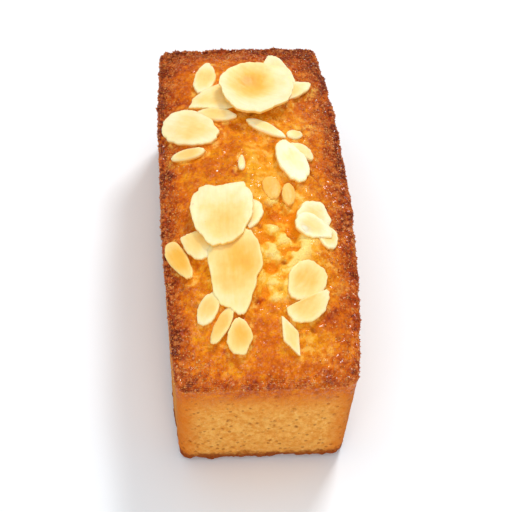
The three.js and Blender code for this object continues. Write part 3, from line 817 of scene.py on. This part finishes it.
class Wire:  # one output socket of a node, usable in sums
    def __init__(self, painter, socket):
        self.painter = painter
        self.socket = socket

    def join(self, operation, first, second):
        kind = "ShaderNodeVectorMath" if self.socket.type == "VECTOR" else "ShaderNodeMath"
        return self.painter.node(kind, {"operation": operation}, {0: first, 1: second})

    def __add__(self, other):
        return self.join("ADD", self, other)

    __radd__ = __add__

    def __sub__(self, other):
        return self.join("SUBTRACT", self, other)

    def __rsub__(self, other):
        return self.join("SUBTRACT", other, self)

    def __mul__(self, other):
        return self.join("MULTIPLY", self, other)

    __rmul__ = __mul__


def fromPhoto(colour):
    # a colour as seen, from 0 to 255, as the shader's linear numbers and an alpha of 1
    seen = np.array(colour) / 255
    linear = np.where(seen <= 0.04045, seen / 12.92, ((seen + 0.055) / 1.055) ** 2.4)
    return (*linear.tolist(), 1)


class Painter:  # one material's nodes
    def __init__(self, name):
        self.material = bpy.data.materials.new(name)
        self.material.use_nodes = True
        self.tree = self.material.node_tree
        self.tree.nodes.clear()

    def node(self, kind, settings=None, inputs=None, output=0):
        made = self.tree.nodes.new(kind)
        for key, value in (settings or {}).items():
            if key == "stops":
                self.setStops(made.color_ramp.elements, value)
            else:
                setattr(made, key, value)
        for key, value in (inputs or {}).items():
            socket = made.inputs[key]
            if isinstance(value, Wire):
                self.tree.links.new(value.socket, socket)
            elif socket.type == "VECTOR" and not hasattr(value, "__len__"):
                socket.default_value = (value, value, value)
            elif socket.type == "RGBA":
                socket.default_value = fromPhoto(value)
            else:
                socket.default_value = value
        return Wire(self, made.outputs[output]) if made.outputs else None

    def setStops(self, elements, stops):
        # a new ramp has two stops, which become the first and the last one; the rest go between
        elements[0].position, elements[1].position = stops[0][0], stops[-1][0]
        for position, _ in stops[1:-1]:
            elements.new(position)
        for stop, (_, colour) in zip(elements, stops):
            stop.color = fromPhoto(colour)

    def attribute(self, name):
        return self.node("ShaderNodeAttribute", {"attribute_name": name}, output="Fac")

    def attributes(self, *names):
        return [self.attribute(name) for name in names]

    def ramp(self, value, low, high):
        settings = {"interpolation_type": "SMOOTHSTEP"}
        return self.node("ShaderNodeMapRange", settings, {"Value": value, "From Min": low, "From Max": high})

    def noise(self, place, size, detail=2, roughness=0.5):
        inputs = {"Vector": place, "Scale": 1 / (size * mm), "Detail": detail, "Roughness": roughness}
        return self.node("ShaderNodeTexNoise", {}, inputs)

    def grains(self, place, size):
        inputs = {"Vector": place, "Scale": 1 / (size * mm), "Randomness": 1.0}
        return self.node("ShaderNodeTexVoronoi", {}, inputs)

    def mix(self, factor, first, second, blend="MIX"):
        settings = {"data_type": "RGBA", "blend_type": blend, "clamp_factor": True}
        return self.node("ShaderNodeMix", settings, {0: factor, 6: first, 7: second}, output=2)

    def colourRamp(self, value, colours, steps):
        stops = [(position, colours[name]) for position, name in steps]
        return self.node("ShaderNodeValToRGB", {"stops": stops}, {"Fac": value})

    def bump(self, height, distance, strength=1.0, under=None):
        inputs = {"Height": height, "Distance": distance * mm, "Strength": strength}
        if under is not None:
            inputs["Normal"] = under
        return self.node("ShaderNodeBump", {}, inputs)

    def finish(self, inputs):
        shader = self.node("ShaderNodeBsdfPrincipled", {}, inputs)
        self.node("ShaderNodeOutputMaterial", {}, {"Surface": shader})
        return self.material


# All colours are as seen in the photo's light, from 0 to 255.
bakedColours = {
    "golden": (247, 176, 30),
    "amber": (238, 142, 8),
    "orange": (217, 108, 4),
    "brown": (174, 66, 5),
    "dark": (110, 34, 5),
    "sugarAndHighlight": (230, 150, 80),
    "glintSpeck": (244, 176, 116),
    "ridgeHighlight": (252, 192, 84),
    "glaze": (242, 152, 8),
    "crumb": (255, 222, 126),
    "crumbMiddle": (252, 186, 56),
    "crumbDeep": (238, 140, 10),
    "face": (243, 178, 88),
    "faceLight": (250, 206, 128),
    "faceTop": (228, 130, 30),
    "faceDeep": (224, 142, 50),
    "faceSideShade": (208, 120, 32),
    "faceEdge": (212, 108, 4),
    "faceFoot": (138, 56, 6),
    "shadedPore": (160, 76, 12),
}


def topColour(paint, place, mottle, speckle):
    # from golden to dark brown, darker between the grains as painted shade, golden where it is glazed
    browning, torn, grain, ownGrain = paint.attributes("browning", "torn", "grain", "ownGrain")
    edge, glaze, crag = paint.attributes("edge", "glaze", "crag")
    colours = bakedColours
    toasted = browning + (mottle - 0.5) * 0.7 + (speckle - 0.5) * 0.45
    # (0.4 - grain) paints the low places between the grains darker: painted shade in the crevices
    toasted = toasted + (0.4 - grain) * (0.15 + 0.35 * edge) + (ownGrain - 0.5) * (0.1 + 0.25 * edge)
    steps = [(0.08, "golden"), (0.3, "amber"), (0.52, "orange"), (0.78, "brown"), (1.0, "dark")]
    top = paint.colourRamp(toasted, colours, steps)
    # the grain tops are painted paler: painted highlight
    top = paint.mix(paint.ramp(grain - ownGrain, 0.1, 0.35) * edge * 0.6, top, colours["sugarAndHighlight"])
    top = paint.mix(paint.ramp(glaze + (mottle - 0.5) * 0.6, 0.25, 0.95) * 0.7, top, colours["glaze"])

    # valleys of a noise painted brown as painted shade, its ridges painted light where glazed as painted
    # highlight, and light specks as painted glints
    ridge = paint.noise(place, 1.7, 3, 0.6)
    # the noise's valleys are painted brown: painted shade
    top = paint.mix(paint.ramp(ridge, 0.5, 0.34) * (1 - edge) * 0.4, top, colours["brown"])
    litRidge = paint.ramp(ridge, 0.5, 0.64) * paint.ramp(glaze, 0.05, 0.5)
    top = paint.mix(litRidge * 0.75, top, colours["ridgeHighlight"])
    # pale specks, more of them at the rim: painted glints
    glintSpeck = 1 - paint.ramp(paint.grains(place, 0.8), 0.14, 0.36)
    glintSpeck = glintSpeck * paint.ramp(speckle + mottle, 0.92, 1.12) * (1 - glaze * 0.6)
    top = paint.mix(glintSpeck * (0.3 + 0.45 * edge), top, colours["glintSpeck"])

    # the open crumb, paler the further it stands up and deeper orange in its hollows: partly the crumb's own
    # colour, partly painted light on its tops and painted shade in its hollows
    crumbly = crag + (speckle - 0.5) * 0.6 + (mottle - 0.5) * 0.5
    openCrumb = paint.mix(paint.ramp(crumbly, 0.2, 0.6), colours["crumbDeep"], colours["crumbMiddle"])
    openCrumb = paint.mix(paint.ramp(crumbly, 0.55, 0.95), openCrumb, colours["crumb"])
    return paint.mix(paint.ramp(torn + (mottle - 0.5) * 0.2, 0.1, 0.6), top, openCrumb)


def wallColour(paint, place, mottle, speckle, shadedHoles, low):
    # tan crumb, browner below the rim, at the upright corners and the foot; darker along the long sides and
    # in the holes, as painted shade
    level, longSide, fromCorner = paint.attributes("level", "longSide", "fromCorner")
    colours = bakedColours
    dust = paint.noise(place, 0.9, 4, 0.65) + (mottle - 0.5) * 0.35
    face = paint.mix(paint.ramp(dust, 0.32, 0.66), colours["faceDeep"], colours["face"])
    face = paint.mix(paint.ramp(paint.noise(place, 0.6, 2), 0.6, 0.72) * 0.5, face, colours["faceLight"])
    face = paint.mix(low * 0.35, face, colours["faceDeep"])
    face = paint.mix(paint.ramp(level, 13.0, 25.0) * 0.7, face, colours["faceTop"])
    face = paint.mix(longSide * 0.6, face, colours["faceSideShade"])
    corner = 1 - paint.ramp(fromCorner + (mottle - 0.5) * 2.0, 0.5, 5.5)
    face = paint.mix(corner * 0.8, face, colours["faceEdge"])
    face = paint.mix(shadedHoles * 0.6, face, colours["shadedPore"])
    foot = 1 - paint.ramp(level + (speckle - 0.5) * 2.4 + (mottle - 0.5) * 2.0, 1.5, 3.4)
    return paint.mix(foot * 0.9, face, colours["faceFoot"])


def crustMaterial():
    paint = Painter("bakedCrust")
    place = paint.node("ShaderNodeTexCoord", output="Object")
    wall, glaze, grain = paint.attributes("wall", "glaze", "grain")
    mottle = paint.noise(place, 2.4, 4, 0.6)
    speckle = paint.noise(place, 0.55, 3, 0.6)
    low = 1 - paint.ramp(paint.attribute("level"), 0.5, 9.0)
    # spots of the wall's crumb that are bumped in and painted dark: painted shade in its pores
    shadedHoles = 1 - paint.ramp(paint.grains(place, 1.3), 0.16, 0.3)
    shadedHoles = shadedHoles * paint.ramp(mottle + low * 0.3, 0.42, 0.6)
    top = topColour(paint, place, mottle, speckle)
    face = wallColour(paint, place, mottle, speckle, shadedHoles, low)
    colour = paint.mix(wall, top, face)
    # the top's pits and the walls' pores are painted dark: painted shade in the recesses
    colour = paint.mix(paint.attribute("pit") * 0.7, colour, bakedColours["shadedPore"])

    # fine crumb all over, holes in the walls and flecks on the top; the top glistens here and there
    fine = paint.bump(paint.noise(place, 0.35, 2), 0.2, 1.0)
    holed = paint.bump(shadedHoles * wall * -1, 0.25, 0.6, fine)
    normal = paint.bump(paint.grains(place, 0.42) * (wall - 1), 0.14, 0.8, holed)
    shine = paint.ramp(speckle + grain * 0.25 - glaze * 0.08, 0.56, 0.74) * (1 - wall) * 0.7
    return paint.finish({
        "Base Color": colour,
        "Roughness": 0.55 - 0.15 * glaze + 0.2 * wall + 0.2 * (mottle - 0.5),
        "Specular IOR Level": 0.1,
        "Coat Weight": shine,
        "Coat Roughness": 0.14,
        "Normal": normal,
        "Subsurface Weight": 0.1,
        "Subsurface Radius": (1.0, 0.4, 0.12),
        "Subsurface Scale": 0.0012,
    })


grainColours = {
    "sugarAndHighlight": (242, 184, 110),
    "toffee": (216, 128, 52),
    "burnt": (172, 78, 24),
}


def grainMaterial():
    # each grain in one colour, the darker the more the crust round it is browned; the palest partly stand in
    # for glints, as painted highlight
    paint = Painter("sugaryGrains")
    browning, own = paint.attributes("browning", "ownValue")
    toasted = browning * 0.8 + (own - 0.5) * 0.6
    steps = [(0.1, "sugarAndHighlight"), (0.5, "toffee"), (0.9, "burnt")]
    return paint.finish({
        "Base Color": paint.colourRamp(toasted, grainColours, steps),
        "Roughness": 0.16 + 0.25 * own,
        "Specular IOR Level": 0.4,
        "Subsurface Weight": 0.2,
        "Subsurface Radius": (1.0, 0.5, 0.25),
        "Subsurface Scale": 0.0006,
    })


almondColours = {
    "white": (254, 242, 198),
    "pale": (252, 219, 140),
    "golden": (247, 186, 72),
    "amber": (236, 144, 22),
    "edge": (254, 232, 160),
    "soaked": (246, 176, 52),
    "cut": (252, 196, 84),
}


def almondMaterial():
    paint = Painter("toastedAlmond")
    place = paint.node("ShaderNodeTexCoord", output="Object")
    part, tone, own, blush, cut = paint.attributes("part", "tone", "ownValue", "blush", "cut")
    lengthwise, sideways = paint.attributes("lengthwise", "sideways")
    local = paint.node("ShaderNodeCombineXYZ", {}, {"X": lengthwise * 0.3, "Y": sideways, "Z": own * 40})
    streak = paint.node("ShaderNodeTexNoise", {}, {"Vector": local, "Scale": 1.3, "Detail": 3})
    cloud = paint.noise(place, 4.0, 3)
    soaked = paint.ramp(tone, 0.7, 0.9)
    # from white to amber: toasted in patches, which partly stand in for the shading of the slice's
    # undulations as painted light and shade, paler towards the edge
    amount = tone + (cloud - 0.5) * 0.8 + (streak - 0.5) * 0.35
    amount = amount + blush * 0.9 - 0.1 - paint.ramp(part, 0.45, 1.0) * 0.22
    steps = [(0.0, "white"), (0.3, "pale"), (0.62, "golden"), (1.0, "amber")]
    colour = paint.colourRamp(amount * 0.62, almondColours, steps)
    freckle = paint.ramp(paint.noise(place, 1.3, 3, 0.6), 0.68, 0.8)
    colour = paint.mix(freckle * 0.35, colour, almondColours["amber"])
    colour = paint.mix(soaked * 0.75, colour, almondColours["soaked"])
    rim = paint.ramp(part, 0.86, 0.98) * (1 - soaked)
    colour = paint.mix(rim * 0.4, colour, almondColours["edge"])
    # the cut edge is painted golden where its side is in shade: a painted glow of light through the slice
    colour = paint.mix(cut * 0.9, colour, almondColours["cut"])
    normal = paint.bump(streak, 0.08, 0.6, paint.bump(paint.noise(place, 0.6, 3), 0.05, 0.5))
    return paint.finish({
        "Base Color": colour,
        "Roughness": 0.45 + 0.2 * (cloud - 0.5),
        "Specular IOR Level": 0.3,
        "Normal": normal,
        "Coat Weight": 0.1,
        "Coat Roughness": 0.3,
        "Subsurface Weight": 0.2,
        "Subsurface Radius": (1.0, 0.6, 0.2),
        "Subsurface Scale": 0.0008,
    })


studio = {
    "windowBehind": {"place": (0.22, 0.4, 0.6), "size": 0.16, "power": 2.6},
    "overhead": {"place": (-0.12, 0.05, 0.8), "size": 0.6, "power": 1.6},
    "frontFill": {"place": (-0.15, -0.7, 0.4), "size": 0.7, "power": 2.6},
}
roomGlow = 0.42
groundReach = 1.5  # metres each way
groundColours = [(242, 248, 254), (246, 251, 255)]
target = (0, 0, 0.02)


def makeGround():
    # a pale floor, a little clouded
    paint = Painter("paleGround")
    place = paint.node("ShaderNodeTexCoord", output="Object")
    colour = paint.mix(paint.noise(place, 60, 2), *groundColours)
    material = paint.finish({"Base Color": colour, "Roughness": 0.6})
    mesh = bpy.data.meshes.new("ground")
    corners = [(x * groundReach, y * groundReach, 0) for x, y in ((-1, -1), (1, -1), (1, 1), (-1, 1))]
    mesh.from_pydata(corners, [], [(0, 1, 2, 3)])
    mesh.materials.append(material)
    addObject("ground", mesh)
    print("ground", 2 * groundReach, "m wide")


def makeLight():
    # square soft lights that face the cake, and an even glow from all round
    for name, light in studio.items():
        lamp = bpy.data.lights.new(name, "AREA")
        lamp.shape = "SQUARE"
        lamp.size = light["size"]
        lamp.energy = light["power"]
        holder = addObject(name, lamp)
        holder.location = light["place"]
        holder.rotation_mode = "QUATERNION"
        holder.rotation_quaternion = (Vector(target) - Vector(light["place"])).to_track_quat("-Z", "Y")
    world = bpy.data.worlds.new("paleRoom")
    world.use_nodes = True
    background = world.node_tree.nodes["Background"]
    background.inputs["Color"].default_value = (1, 1, 1, 1)
    background.inputs["Strength"].default_value = roomGlow
    bpy.context.scene.world = world
    bpy.context.scene.view_settings.view_transform = "Standard"
    print(len(studio), "lights")


# The camera as worked out from the photo: it stands 0.43 m from the cake, a little to the left,
# looks down by 52 degrees and is turned slightly about its own line of sight.
cameraLook = {
    "place": (-31.9, -267.6, 354.4),
    "forward": (0.0751, 0.6125, -0.7869),
    "up": (0.0258, 0.7877, 0.6156),
    "lens": 156.3,
    "sensor": 36,
}


def makeCamera():
    # its three axes are made perpendicular to each other first
    camera = addObject("camera", bpy.data.cameras.new("camera"))
    camera.data.lens = cameraLook["lens"]
    camera.data.sensor_width = cameraLook["sensor"]
    camera.data.clip_start = 0.01
    backward = -Vector(cameraLook["forward"]).normalized()
    right = Vector(cameraLook["up"]).cross(backward).normalized()
    up = backward.cross(right)
    turn = Matrix((right, up, backward)).transposed()
    camera.matrix_world = Matrix.Translation(Vector(cameraLook["place"]) * mm) @ turn.to_4x4()
    bpy.context.scene.camera = camera
    print("camera with a lens of", cameraLook["lens"], "mm")


makeCamera()
makeLight()
makeGround()
bodyPoints, bodyFaces, bodyLooks, bodyNormals = dressedBody()
makePiece("cakeCrust", bodyPoints, bodyFaces, bodyLooks, crustMaterial())
slicePoints, sliceFaces, sliceLooks = almondSlices()
makePiece("almondSlices", slicePoints, sliceFaces, sliceLooks, almondMaterial())
grainPoints, grainFaces, grainLooks = crustGrains(bodyPoints, bodyNormals, bodyLooks)
makePiece("crustGrains", grainPoints, grainFaces, grainLooks, grainMaterial())
